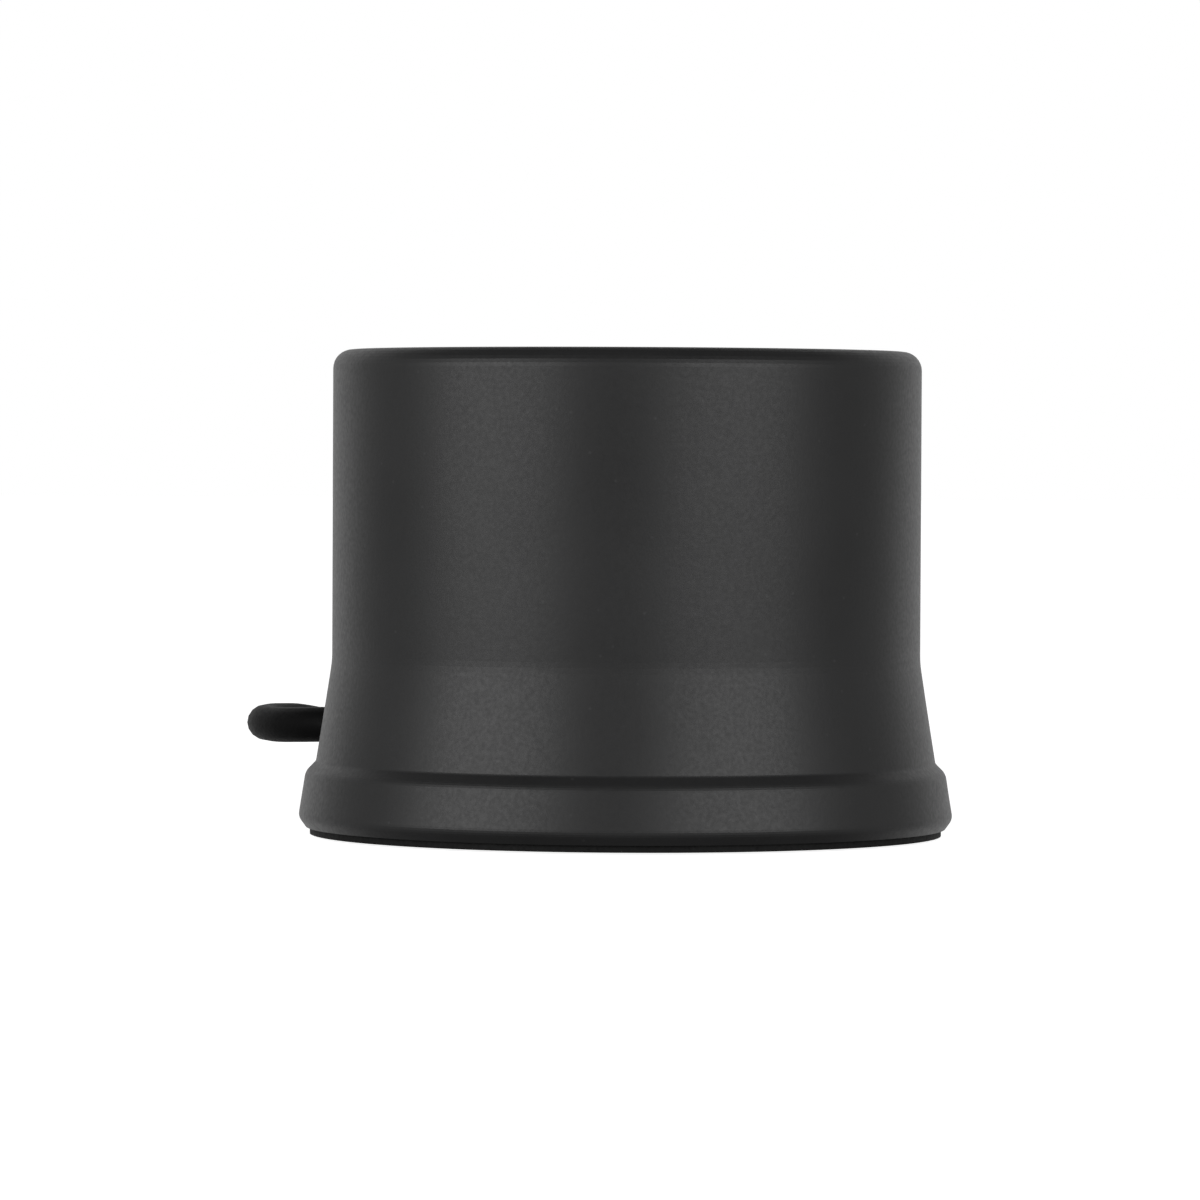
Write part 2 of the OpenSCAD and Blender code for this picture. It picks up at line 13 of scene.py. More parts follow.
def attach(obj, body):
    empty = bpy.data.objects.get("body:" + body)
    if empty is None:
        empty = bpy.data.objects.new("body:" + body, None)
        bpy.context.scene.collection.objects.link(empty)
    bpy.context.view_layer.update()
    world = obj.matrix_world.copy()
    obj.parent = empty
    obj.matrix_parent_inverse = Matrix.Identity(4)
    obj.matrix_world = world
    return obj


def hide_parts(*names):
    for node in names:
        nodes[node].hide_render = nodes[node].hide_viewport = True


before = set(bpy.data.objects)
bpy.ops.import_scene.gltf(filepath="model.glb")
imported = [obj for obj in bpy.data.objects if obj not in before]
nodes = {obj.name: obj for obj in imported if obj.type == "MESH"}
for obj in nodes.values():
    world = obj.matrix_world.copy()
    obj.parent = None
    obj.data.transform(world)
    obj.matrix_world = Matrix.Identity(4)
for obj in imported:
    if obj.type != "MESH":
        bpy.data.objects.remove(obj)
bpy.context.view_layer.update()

# ---- Studio: floor, light and camera ----
# A white sweep under the body and a white wall behind it, two broad softboxes at its left and
# right, and a dark room in front and above. A long lens looks at it nearly level.

view = bpy.context.scene.view_settings
view.view_transform = "Standard"
view.look = "None"


def floor_paper():
    """Matt white paper that glows so that it stays white, and is clear when seen from below."""
    paper = bpy.data.materials.new("studio_paper")
    paper.use_nodes = True
    shader = paper.node_tree.nodes["Principled BSDF"]
    shader.inputs["Base Color"].default_value = (0.9, 0.9, 0.9, 1)
    shader.inputs["Roughness"].default_value = 1.0
    shader.inputs["Specular IOR Level"].default_value = 0.0
    shader.inputs["Emission Color"].default_value = (1, 1, 1, 1)
    shader.inputs["Emission Strength"].default_value = 0.9
    link = paper.node_tree.links.new
    side = paper.node_tree.nodes.new("ShaderNodeNewGeometry")
    clear = paper.node_tree.nodes.new("ShaderNodeBsdfTransparent")
    either = paper.node_tree.nodes.new("ShaderNodeMixShader")
    link(side.outputs["Backfacing"], either.inputs["Fac"])
    link(shader.outputs["BSDF"], either.inputs[1])
    link(clear.outputs["BSDF"], either.inputs[2])
    link(either.outputs["Shader"], paper.node_tree.nodes["Material Output"].inputs["Surface"])
    return paper


# The paper lies a hair below the pad, so that the two faces never share a plane
PAPER_WIDTH = 12
PAPER_DROP = 0.0003
bpy.ops.mesh.primitive_plane_add(size=PAPER_WIDTH, location=(0, 0, -PAPER_DROP))
floor = bpy.context.object
floor.name = "studio_floor"
floor.visible_diffuse = False
floor.visible_glossy = False
floor.data.materials.append(floor_paper())


SOFTBOX_WIDTH = 0.84
SOFTBOX_HEIGHT = 0.56
SOFTBOX_AWAY = 0.9


def softbox(name, azimuth, watts):
    """A broad lamp standing on the floor, at an azimuth from the front, aimed at the body."""
    lamp = bpy.data.lights.new(name, "AREA")
    lamp.shape = "RECTANGLE"
    lamp.size, lamp.size_y = SOFTBOX_WIDTH, SOFTBOX_HEIGHT
    lamp.energy = watts
    stand = bpy.data.objects.new(name, lamp)
    a = math.radians(azimuth)
    stand.location = (SOFTBOX_AWAY * math.sin(a), -SOFTBOX_AWAY * math.cos(a),
                      SOFTBOX_HEIGHT / 2)
    stand.rotation_euler = (math.radians(90), 0, a)
    bpy.context.scene.collection.objects.link(stand)


softbox("softbox_left", -51, 3.44)
softbox("softbox_right", 40.5, 3.12)

CEILING_LIGHT = 0.10
ROOM_LIGHT = 0.285
WALL_LIGHT = 0.46


def studio_room():
    """Dim grey room with a white wall behind the body; the camera sees it all as white."""
    room = bpy.data.worlds.new("studio_room")
    room.use_nodes = True
    tree = room.node_tree
    link = tree.links.new
    place = tree.nodes.new("ShaderNodeTexCoord")
    part = tree.nodes.new("ShaderNodeSeparateXYZ")
    link(place.outputs["Generated"], part.inputs["Vector"])

    def span(value, start, stop, low, high):
        """Run smoothly from low to high while the value runs from start to stop."""
        node = tree.nodes.new("ShaderNodeMapRange")
        node.interpolation_type = "SMOOTHSTEP"
        for label, number in (("From Min", start), ("From Max", stop),
                              ("To Min", low), ("To Max", high)):
            node.inputs[label].default_value = number
        link(value, node.inputs["Value"])
        return node.outputs["Result"]

    def math_node(operation, a, b=None):
        node = tree.nodes.new("ShaderNodeMath")
        node.operation = operation
        link(a, node.inputs[0])
        if b is not None:
            link(b, node.inputs[1])
        return node.outputs["Value"]

    level = span(math_node("ABSOLUTE", part.outputs["Z"]), 0.35, 0.75, 1, 0)
    behind = span(part.outputs["Y"], 0.52, 0.74, 0, WALL_LIGHT)
    wall = math_node("MULTIPLY", behind, level)
    grey = span(level, 0, 1, CEILING_LIGHT, ROOM_LIGHT)
    light = math_node("ADD", grey, wall)
    path = tree.nodes.new("ShaderNodeLightPath")
    shown = math_node("MAXIMUM", light, path.outputs["Is Camera Ray"])
    link(shown, tree.nodes["Background"].inputs["Strength"])
    tree.nodes["Background"].inputs["Color"].default_value = (1, 1, 1, 1)
    bpy.context.scene.world = room


studio_room()

CAMERA_BACK = 0.945
CAMERA_HEIGHT = 0.0554
CAMERA_LENS = 198.4
CAMERA_AIM = Vector((-0.00377, 0, 0.0334))
CAMERA_TILT = math.radians(0.27)
lens = bpy.data.cameras.new("camera")
lens.lens = CAMERA_LENS
lens.sensor_width = 36
lens.clip_start, lens.clip_end = 0.05, 30
camera = bpy.data.objects.new("camera", lens)
camera.location = (0, -CAMERA_BACK, CAMERA_HEIGHT)
look = CAMERA_AIM - camera.location
camera.rotation_mode = "QUATERNION"
camera.rotation_quaternion = (
    Quaternion(look.normalized(), -CAMERA_TILT) @ look.to_track_quat("-Z", "Y"))
bpy.context.scene.collection.objects.link(camera)
bpy.context.scene.camera = camera

# ---- Lead ----
# Two metres of four-core sensor lead in a matt black jacket. It leaves the boot at the back
# left, turns round behind the body, and is wound into a neat coil with its plug beside it.

MM = 0.001
LEAD_D = 5.2 * MM
COIL_CENTRE = Vector((-7, 88, 0)) * MM
COIL_R = 30.3 * MM
COIL_COLUMNS = 3
COIL_LAYERS = 4
TURN_STEP = 15
CROSSING = 60
EXIT_ROUTE = [
    (-42.6, 29.83, 14.1), (-44.5, 31.16, 14.1), (-48.4, 34.8, 13.9), (-51.7, 39.4, 13.7),
    (-53.8, 44.8, 13.7), (-54.2, 50.8, 13.7), (-52.4, 57.4, 13.6), (-49.0, 63.4, 13.2),
    (-45.2, 69.2, 11.8), (-43.3, 75.3, 8.5), (-42.6, 81.7, 4.6),
]
PLUG_ROUTE = [
    (-42.6, 94, 18.2), (-42.8, 100, 17.8), (-42.9, 106, 16.3), (-42.8, 112, 13.7),
    (-42.5, 118, 10.9), (-42.2, 123.5, 8.7), (-42, 129, 7.5), (-42, 134, 7.3), (-42, 139, 7.3),
]


def coil_turns():
    """Centreline of the coil: three turns side by side in a layer, and four layers.

    The lead stays in its place for most of a turn and then moves over or up within a sixth
    of one. Where the kind of move changes, it comes a sixth of a turn sooner, so that the
    lead never lies in the turn that it crosses.
    """
    fill = {"in": ["in"] * (COIL_COLUMNS - 1), "out": ["out"] * (COIL_COLUMNS - 1)}
    moves = []
    for level in range(COIL_LAYERS):
        moves += (["up"] if level else []) + fill["out" if level % 2 else "in"]
    column, layer, turned, before = 0, 0, 0, None
    points = []

    def lay(angle, column, layer):
        a = math.radians(180 - angle)
        radius = COIL_R + (1 - column) * LEAD_D
        points.append(COIL_CENTRE + Vector(
            (radius * math.cos(a), radius * math.sin(a), (layer + 0.5) * LEAD_D)))

    for move in moves:
        held = 360 - CROSSING * (1 if move == before or before is None else 2)
        for angle in range(0, held, TURN_STEP):
            lay(turned + angle, column, layer)
        turned += held
        over = {"in": 1, "out": -1, "up": 0}[move]
        rise = 1 if move == "up" else 0
        for angle in range(0, CROSSING, TURN_STEP):
            share = angle / CROSSING
            share = share * share * (3 - 2 * share)
            lay(turned + angle, column + over * share, layer + rise * share)
        turned += CROSSING
        column, layer, before = column + over, layer + rise, move
    lay(turned, column, layer)
    return points


def bezier_through(name, points, radius, smoothness):
    """A round cord as a curve of one open spline through the points.

    The curve is one metre thick and each knot scales that to the cord's radius.
    """
    line = bpy.data.curves.new(name, "CURVE")
    line.dimensions = "3D"
    line.bevel_depth = 1.0
    line.bevel_resolution = smoothness
    line.resolution_u = 4
    line.use_fill_caps = True
    spline = line.splines.new("BEZIER")
    spline.bezier_points.add(len(points) - 1)
    for knot, point in zip(spline.bezier_points, points):
        knot.co = point
        knot.handle_left_type = knot.handle_right_type = "AUTO"
        knot.radius = radius
    cord = bpy.data.objects.new(name, line)
    bpy.context.scene.collection.objects.link(cord)
    return cord


route = [Vector(p) * MM for p in EXIT_ROUTE] + coil_turns() + [Vector(p) * MM for p in PLUG_ROUTE]
lead = bezier_through("sensor_lead", route, LEAD_D / 2, 6)
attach(lead, "body")
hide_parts("lead", "lead_coil")


def new_group(name, inputs, outputs):
    """An empty shader node group with named value sockets, and its two end nodes."""
    group = bpy.data.node_groups.new(name, "ShaderNodeTree")
    for label, kind, value in inputs:
        socket = group.interface.new_socket(label, in_out="INPUT", socket_type=kind)
        if value is not None:
            socket.default_value = value
    for label, kind in outputs:
        group.interface.new_socket(label, in_out="OUTPUT", socket_type=kind)
    start = group.nodes.new("NodeGroupInput")
    end = group.nodes.new("NodeGroupOutput")
    return group, start, end


def grain_group():
    """Fine grain, broad cloudiness and scattered specks, for any matt surface."""
    group, start, end = new_group(
        "surface_grain",
        [("Vector", "NodeSocketVector", None), ("Fine Scale", "NodeSocketFloat", 900.0),
         ("Broad Scale", "NodeSocketFloat", 40.0), ("Speck Scale", "NodeSocketFloat", 260.0),
         ("Speck Share", "NodeSocketFloat", 0.1)],
        [("Fine", "NodeSocketFloat"), ("Broad", "NodeSocketFloat"),
         ("Specks", "NodeSocketFloat")])
    link = group.links.new
    fine = group.nodes.new("ShaderNodeTexNoise")
    fine.inputs["Detail"].default_value = 3
    broad = group.nodes.new("ShaderNodeTexNoise")
    broad.inputs["Detail"].default_value = 4
    broad.inputs["Roughness"].default_value = 0.6
    cells = group.nodes.new("ShaderNodeTexVoronoi")
    near = group.nodes.new("ShaderNodeMapRange")
    near.inputs["To Min"].default_value = 1
    near.inputs["To Max"].default_value = 0
    for node, scale in ((fine, "Fine Scale"), (broad, "Broad Scale"), (cells, "Speck Scale")):
        link(start.outputs["Vector"], node.inputs["Vector"])
        link(start.outputs[scale], node.inputs["Scale"])
    link(cells.outputs["Distance"], near.inputs["Value"])
    link(start.outputs["Speck Share"], near.inputs["From Max"])
    link(fine.outputs["Fac"], end.inputs["Fine"])
    link(broad.outputs["Fac"], end.inputs["Broad"])
    link(near.outputs["Result"], end.inputs["Specks"])
    return group


GRAIN = grain_group()


class Finish:
    """A material with a Principled shader, built up one effect at a time."""

    def __init__(self, name, colour, roughness, metallic=0.0, specular=0.5):
        self.material = bpy.data.materials.new(name)
        self.material.use_nodes = True
        self.tree = self.material.node_tree
        self.shader = self.tree.nodes["Principled BSDF"]
        self.shader.inputs["Base Color"].default_value = (*colour, 1)
        self.shader.inputs["Roughness"].default_value = roughness
        self.shader.inputs["Metallic"].default_value = metallic
        self.shader.inputs["Specular IOR Level"].default_value = specular
        self.place = self.tree.nodes.new("ShaderNodeTexCoord")

    def add(self, kind):
        return self.tree.nodes.new(kind)

    def link(self, a, b):
        self.tree.links.new(a, b)

    def group(self, tree, vector=None, **values):
        """Place a node group, fed with the object's own coordinates."""
        node = self.add("ShaderNodeGroup")
        node.node_tree = tree
        self.link(vector or self.place.outputs["Object"], node.inputs["Vector"])
        for label, value in values.items():
            node.inputs[label.replace("_", " ")].default_value = value
        return node

    def blend(self, mask, low, high):
        """Colour that runs from low to high as the mask runs from 0 to 1.

        low is a colour, or the output of an earlier blend.
        """
        mix = self.add("ShaderNodeMix")
        mix.data_type = "RGBA"
        mix.inputs["A"].default_value = (*low, 1) if isinstance(low, tuple) else (0, 0, 0, 1)
        mix.inputs["B"].default_value = (*high, 1)
        if not isinstance(low, tuple):
            self.link(low, mix.inputs["A"])
        self.link(mask, mix.inputs["Factor"])
        return mix.outputs["Result"]

    def spread(self, value, low, high, start=0.3, stop=0.7):
        """Stretch the middle of a noise value over a range."""
        span = self.add("ShaderNodeMapRange")
        span.inputs["From Min"].default_value = start
        span.inputs["From Max"].default_value = stop
        span.inputs["To Min"].default_value = low
        span.inputs["To Max"].default_value = high
        self.link(value, span.inputs["Value"])
        return span.outputs["Result"]

    def relief(self, value, depth, strength, below=None):
        """Bump of a given depth in metres, over an earlier one where there is one."""
        bump = self.add("ShaderNodeBump")
        bump.inputs["Strength"].default_value = strength
        bump.inputs["Distance"].default_value = depth
        self.link(value, bump.inputs["Height"])
        if below is not None:
            self.link(below, bump.inputs["Normal"])
        self.link(bump.outputs["Normal"], self.shader.inputs["Normal"])
        return bump.outputs["Normal"]


def lead_jacket():
    """Matt black jacket, a little mottled, with the faint print of the extruder's die."""
    jacket = Finish("lead_jacket", (0.003, 0.003, 0.0031), 0.55, specular=0.1)
    grain = jacket.group(GRAIN, Fine_Scale=2200.0, Broad_Scale=90.0, Speck_Share=0.12)
    broad = jacket.spread(grain.outputs["Broad"], 0, 1)
    colour = jacket.blend(broad, (0.0022, 0.0022, 0.0023), (0.0038, 0.0038, 0.004))
    colour = jacket.blend(grain.outputs["Specks"], colour, (0.009, 0.009, 0.009))
    jacket.link(colour, jacket.shader.inputs["Base Color"])
    jacket.link(jacket.spread(grain.outputs["Fine"], 0.48, 0.6), jacket.shader.inputs["Roughness"])
    jacket.relief(grain.outputs["Fine"], 0.00003, 0.5)
    return jacket.material


lead.data.materials.append(lead_jacket())
nodes["lead_tail"].data.materials[0] = lead.data.materials[0]


def moulded(name, colour, light, roughness, grain_scale=1500.0):
    """Moulded plastic with the fine texture of an etched mould and a few dull patches."""
    plastic = Finish(name, colour, roughness, specular=0.4)
    grain = plastic.group(GRAIN, Fine_Scale=grain_scale, Broad_Scale=70.0, Speck_Scale=420.0,
                          Speck_Share=0.08)
    broad = plastic.spread(grain.outputs["Broad"], 0, 1)
    tone = plastic.blend(broad, colour, light)
    tone = plastic.blend(grain.outputs["Specks"], tone, tuple(2 * c for c in light))
    plastic.link(tone, plastic.shader.inputs["Base Color"])
    plastic.link(plastic.spread(grain.outputs["Broad"], roughness + 0.07, roughness - 0.05),
                 plastic.shader.inputs["Roughness"])
    plastic.relief(grain.outputs["Fine"], 0.00004, 0.5)
    return plastic.material


MOULDED_BLACK = moulded("moulded_black", (0.010, 0.010, 0.0104), (0.017, 0.017, 0.0175), 0.5)

# ---- Strain relief ----
# Soft black boot moulded round the lead where it leaves the skirt. It tapers to the lead, and
# three grooves round it let it bend.


def soften(outline, radius, steps=3):
    """Outline of (radius, along) points with every corner but its two ends rounded off."""
    points = [Vector(p) for p in outline]
    out = [points[0]]
    for before, corner, after in zip(points, points[1:], points[2:]):
        reach = min(radius, 0.45 * (before - corner).length, 0.45 * (after - corner).length)
        start = corner + (before - corner).normalized() * reach
        stop = corner + (after - corner).normalized() * reach
        for k in range(steps + 1):
            t = k / steps
            out.append(start * (1 - t) ** 2 + corner * 2 * t * (1 - t) + stop * t ** 2)
    return out + [points[-1]]


def turned_piece(name, outline, foot, axis, sides, dent=None):
    """A mesh turned from an outline in millimetres about an axis that starts at foot.

    dent(angle, along, radius) says how many millimetres to take off the radius there. A point
    on the axis becomes a pinhole ring, too small to see, which is then closed.
    """
    pinhole = 0.02
    w = Vector(axis).normalized()
    u = w.cross(Vector((0, 0, 1))).normalized()
    v = w.cross(u)
    shell = bmesh.new()
    rings = []
    for radius, along in outline:
        ring = []
        for k in range(sides):
            a = math.tau * k / sides
            r = max(radius - (dent(a, along, radius) if dent else 0), pinhole)
            ring.append(shell.verts.new(
                Vector(foot) + (w * along + (u * math.cos(a) + v * math.sin(a)) * r) * MM))
        rings.append(ring)
    for one, two in zip(rings, rings[1:]):
        for k in range(sides):
            n = (k + 1) % sides
            shell.faces.new((one[k], two[k], two[n], one[n]))
    for ring in (rings[0], rings[-1]):
        if (ring[0].co - ring[sides // 2].co).length < 3 * pinhole * MM:
            shell.faces.new(ring)
    bmesh.ops.recalc_face_normals(shell, faces=shell.faces)
    mesh = bpy.data.meshes.new(name)
    shell.to_mesh(mesh)
    shell.free()
    mesh.shade_smooth()
    mesh.set_sharp_from_angle(angle=math.radians(50))
    piece = bpy.data.objects.new(name, mesh)
    bpy.context.scene.collection.objects.link(piece)
    return piece


LEAD_HEIGHT = 14.1
LEAD_AZIMUTH = math.radians(145)
WAY_OUT = Vector((math.cos(LEAD_AZIMUTH), math.sin(LEAD_AZIMUTH), 0))
BOOT_TIP = 52
boot_outline = soften(
    [(2.6, 36.5), (4, 36.5), (4, 38.4), (3.6, 38.4), (3.6, 44.2), (4, 44.6), (3.93, 45.6),
     (3.45, 45.7), (3.42, 46.4), (3.82, 46.5), (3.65, 47.4), (3.2, 47.5), (3.18, 48.2),
     (3.55, 48.3), (3.4, 49.2), (3, 49.3), (2.98, 50), (3.28, 50.1), (3.1, BOOT_TIP - 0.3),
     (2.9, BOOT_TIP), (2.6, BOOT_TIP)], 0.18)
boot = turned_piece("strain_relief_boot", boot_outline, Vector((0, 0, LEAD_HEIGHT)) * MM,
                    WAY_OUT, 48)
boot.data.materials.append(MOULDED_BLACK)
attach(boot, "body")
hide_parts("strain_relief")

# ---- Coil tie ----
# Woven hook-and-loop strap, 10 mm wide, pulled once round the coil's turns. Its end laps over
# its start on top and sticks there.

TIE_T = 0.8
TIE_W = 10.0
TIE_CORNER = 2.4
LAP_GAP = 0.05


def strap_path():
    """Middle line of the strap round the turns, in radial and upward millimetres, with its lap."""
    half = COIL_COLUMNS * LEAD_D / MM / 2 + TIE_T / 2
    top = COIL_LAYERS * LEAD_D / MM + TIE_T / 2
    corners = [(half, top, 90), (-half, top, 180), (-half, TIE_T / 2, 270), (half, TIE_T / 2, 360)]
    around = []
    for x, z, stop in corners:
        cx = x - math.copysign(TIE_CORNER, x)
        cz = z - TIE_CORNER if z > top / 2 else z + TIE_CORNER
        for k in range(7):
            a = math.radians(stop - 90 + 15 * k)
            around.append(Vector((cx + TIE_CORNER * math.cos(a), cz + TIE_CORNER * math.sin(a))))
    start = Vector((half - TIE_CORNER, top))
    line = [start] + around[7:] + around[:7]
    for x in (3.2, 0.8, -1.6, -4.0):
        line.append(Vector((x, top + TIE_T + LAP_GAP)))
    return line


def woven_strap():
    """The strap as one strip with thickness, rounded edges and a cut end."""
    line = strap_path()
    run = [0.0]
    for a, b in zip(line, line[1:]):
        run.append(run[-1] + (b - a).length)
    half, edge = TIE_W / 2, 0.25
    section = [(-half, 0), (-half + edge, 0.5), (half - edge, 0.5), (half, 0),
               (half - edge, -0.5), (-half + edge, -0.5)]
    strip = bmesh.new()
    cloth = strip.loops.layers.uv.new("run")
    rings = []
    for i, point in enumerate(line):
        way = (line[min(i + 1, len(line) - 1)] - line[max(i - 1, 0)]).normalized()
        out = Vector((-way.y, way.x))
        rings.append([strip.verts.new(Vector((
            point.x + out.x * t * TIE_T, y, point.y + out.y * t * TIE_T)) * MM)
            for y, t in section])
    for i in range(len(line) - 1):
        for k in range(6):
            n = (k + 1) % 6
            face = strip.faces.new((rings[i][k], rings[i + 1][k], rings[i + 1][n], rings[i][n]))
            for loop, (j, m) in zip(face.loops, ((i, k), (i + 1, k), (i + 1, n), (i, n))):
                loop[cloth].uv = (run[j] * MM, (section[m][0] + section[m][1]) * MM)
    strip.faces.new(rings[0])
    strip.faces.new(rings[-1])
    bmesh.ops.recalc_face_normals(strip, faces=strip.faces)
    mesh = bpy.data.meshes.new("coil_strap")
    strip.to_mesh(mesh)
    strip.free()
    mesh.shade_smooth()
    mesh.set_sharp_from_angle(angle=math.radians(50))
    return bpy.data.objects.new("coil_strap", mesh)


def weave_group():
    """Plain weave: threads over and under each other along the strip and across it, and a mask of
    the gaps between the threads for painted shade.
    """
    group, start, end = new_group(
        "plain_weave",
        [("Vector", "NodeSocketVector", None), ("Threads", "NodeSocketFloat", 2000.0)],
        [("Height", "NodeSocketFloat"), ("Gap Shade", "NodeSocketFloat")])
    link = group.links.new
    scale = group.nodes.new("ShaderNodeVectorMath")
    scale.operation = "SCALE"
    link(start.outputs["Vector"], scale.inputs[0])
    link(start.outputs["Threads"], scale.inputs["Scale"])
    part = group.nodes.new("ShaderNodeSeparateXYZ")
    link(scale.outputs["Vector"], part.inputs["Vector"])
    waves = []
    for side in ("X", "Y"):
        wave = group.nodes.new("ShaderNodeMath")
        wave.operation = "SINE"
        link(part.outputs[side], wave.inputs[0])
        waves.append(wave.outputs["Value"])
    both = group.nodes.new("ShaderNodeMath")
    both.operation = "MULTIPLY"
    link(waves[0], both.inputs[0])
    link(waves[1], both.inputs[1])
    gap_shade = group.nodes.new("ShaderNodeMapRange")
    gap_shade.inputs["From Min"].default_value = -0.9
    gap_shade.inputs["From Max"].default_value = -0.3
    gap_shade.inputs["To Min"].default_value = 1
    gap_shade.inputs["To Max"].default_value = 0
    link(both.outputs["Value"], gap_shade.inputs["Value"])
    link(both.outputs["Value"], end.inputs["Height"])
    link(gap_shade.outputs["Result"], end.inputs["Gap Shade"])
    return group


def strap_cloth():
    """Black nylon weave with the soft bloom of its loops, and painted shade in the gaps between
    its threads.
    """
    cloth = Finish("strap_weave", (0.018, 0.019, 0.021), 0.8, specular=0.25)
    cloth.shader.inputs["Sheen Weight"].default_value = 0.35
    cloth.shader.inputs["Sheen Roughness"].default_value = 0.5
    weave = cloth.group(weave_group(), cloth.place.outputs["UV"], Threads=9000.0)
    grain = cloth.group(GRAIN, Fine_Scale=2600.0, Broad_Scale=120.0, Speck_Scale=900.0,
                        Speck_Share=0.15)
    tone = cloth.blend(cloth.spread(grain.outputs["Fine"], 0, 1), (0.014, 0.015, 0.017),
                       (0.030, 0.031, 0.034))
    # Painted shade: the gaps between the threads are darkened in the colour.
    tone = cloth.blend(weave.outputs["Gap Shade"], tone, (0.005, 0.005, 0.006))
    cloth.link(tone, cloth.shader.inputs["Base Color"])
    cloth.link(cloth.spread(grain.outputs["Broad"], 0.72, 0.88), cloth.shader.inputs["Roughness"])
    under = cloth.relief(weave.outputs["Height"], 0.00012, 0.8)
    cloth.relief(grain.outputs["Fine"], 0.00008, 0.5, below=under)
    return cloth.material


tie = woven_strap()
bpy.context.scene.collection.objects.link(tie)
TIE_TURN = math.radians(-60)
tie.location = COIL_CENTRE + COIL_R * Vector((math.cos(TIE_TURN), math.sin(TIE_TURN), 0))
tie.rotation_euler = (0, 0, TIE_TURN)
tie.data.materials.append(strap_cloth())
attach(tie, "body")
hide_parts("coil_tie")

# ---- Plug ----
# Round four-pin plug: a moulded black body with a fluted grip and a slotted bend relief, a
# nickel-plated knurled ring that turns on it, an insulator and gold-plated pins.

PLUG_BACK = Vector((-42, 139, 7.3)) * MM


GRIP_R = 5.9
GRIP_START, GRIP_END = 14.6, 23.4
FLUTES = 18
FLUTE_DEPTH = 0.32


def grip_flutes(angle, along, radius):
    """Shallow flutes along the thick part of the body, and nothing off the rest."""
    if not GRIP_START < along < GRIP_END or radius < GRIP_R - 0.4:
        return 0
    return FLUTE_DEPTH * max(math.cos(FLUTES * angle), 0) ** 0.7


plug_outline = [(0, 0)] + soften(
    [(2.7, 0), (3.2, 0.1), (3.42, 2.2), (2.85, 2.35), (2.88, 3.2), (3.5, 3.35), (3.65, 5),
     (3.1, 5.15), (3.13, 6), (3.75, 6.15), (3.9, 7.8), (3.4, 7.95), (3.43, 8.8), (4, 8.95),
     (4.3, 12), (GRIP_R, 14)], 0.2) + soften(
    [(GRIP_R, 14.2), (GRIP_R, 14.8), (GRIP_R, 19), (GRIP_R, 23.2), (GRIP_R, 24), (4.8, 25.5),
     (4.8, 31)], 0.4) + [(0, 31)]
plug = turned_piece("plug_body_moulding", plug_outline, PLUG_BACK, (0, 1, 0), 144, grip_flutes)
plug.data.materials.append(MOULDED_BLACK)
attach(plug, "body")
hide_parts("plug_body")


def bare_metal(name, colour, roughness, scratch_scale=1400.0, worn=0.06):
    """Uncoated or plated metal, a little clouded, with fine scratches and dull specks."""
    metal = Finish(name, colour, roughness, metallic=1.0)
    grain = metal.group(GRAIN, Fine_Scale=scratch_scale, Broad_Scale=150.0, Speck_Scale=500.0,
                        Speck_Share=worn)
    tone = metal.blend(metal.spread(grain.outputs["Broad"], 0, 1),
                       tuple(0.8 * c for c in colour), colour)
    tone = metal.blend(grain.outputs["Specks"], tone, tuple(0.45 * c for c in colour))
    metal.link(tone, metal.shader.inputs["Base Color"])
    metal.link(metal.spread(grain.outputs["Fine"], roughness - 0.06, roughness + 0.08),
               metal.shader.inputs["Roughness"])
    metal.relief(grain.outputs["Fine"], 0.000008, 0.5)
    return metal.material


nodes["plug_ring"].data.materials[0] = bare_metal("nickel_plate", (0.60, 0.58, 0.55), 0.26)
nodes["plug_pins"].data.materials[0] = bare_metal("gold_plate", (0.83, 0.60, 0.26), 0.2)
nodes["plug_insert"].data.materials[0] = MOULDED_BLACK

# ---- Housing ----
# Drum, skirt and base flange turned from one aluminium bar, bead-blasted and anodised satin
# black. The blasting leaves a fine even grain over very faint rings from the lathe.


def ring_group():
    """Rings left by a lathe about the local Z axis, along its side and across its ends."""
    group, start, end = new_group(
        "lathe_rings",
        [("Vector", "NodeSocketVector", None), ("Pitch", "NodeSocketFloat", 3000.0)],
        [("Rings", "NodeSocketFloat")])
    link = group.links.new
    part = group.nodes.new("ShaderNodeSeparateXYZ")
    away = group.nodes.new("ShaderNodeVectorMath")
    away.operation = "LENGTH"
    flat = group.nodes.new("ShaderNodeVectorMath")
    flat.operation = "MULTIPLY"
    flat.inputs[1].default_value = (1, 1, 0)
    add = group.nodes.new("ShaderNodeMath")
    add.operation = "ADD"
    noise = group.nodes.new("ShaderNodeTexNoise")
    noise.noise_dimensions = "1D"
    noise.inputs["Detail"].default_value = 3
    link(start.outputs["Vector"], part.inputs["Vector"])
    link(start.outputs["Vector"], flat.inputs[0])
    link(flat.outputs["Vector"], away.inputs[0])
    link(away.outputs["Value"], add.inputs[0])
    link(part.outputs["Z"], add.inputs[1])
    link(add.outputs["Value"], noise.inputs["W"])
    link(start.outputs["Pitch"], noise.inputs["Scale"])
    link(noise.outputs["Fac"], end.inputs["Rings"])
    return group


RINGS = ring_group()


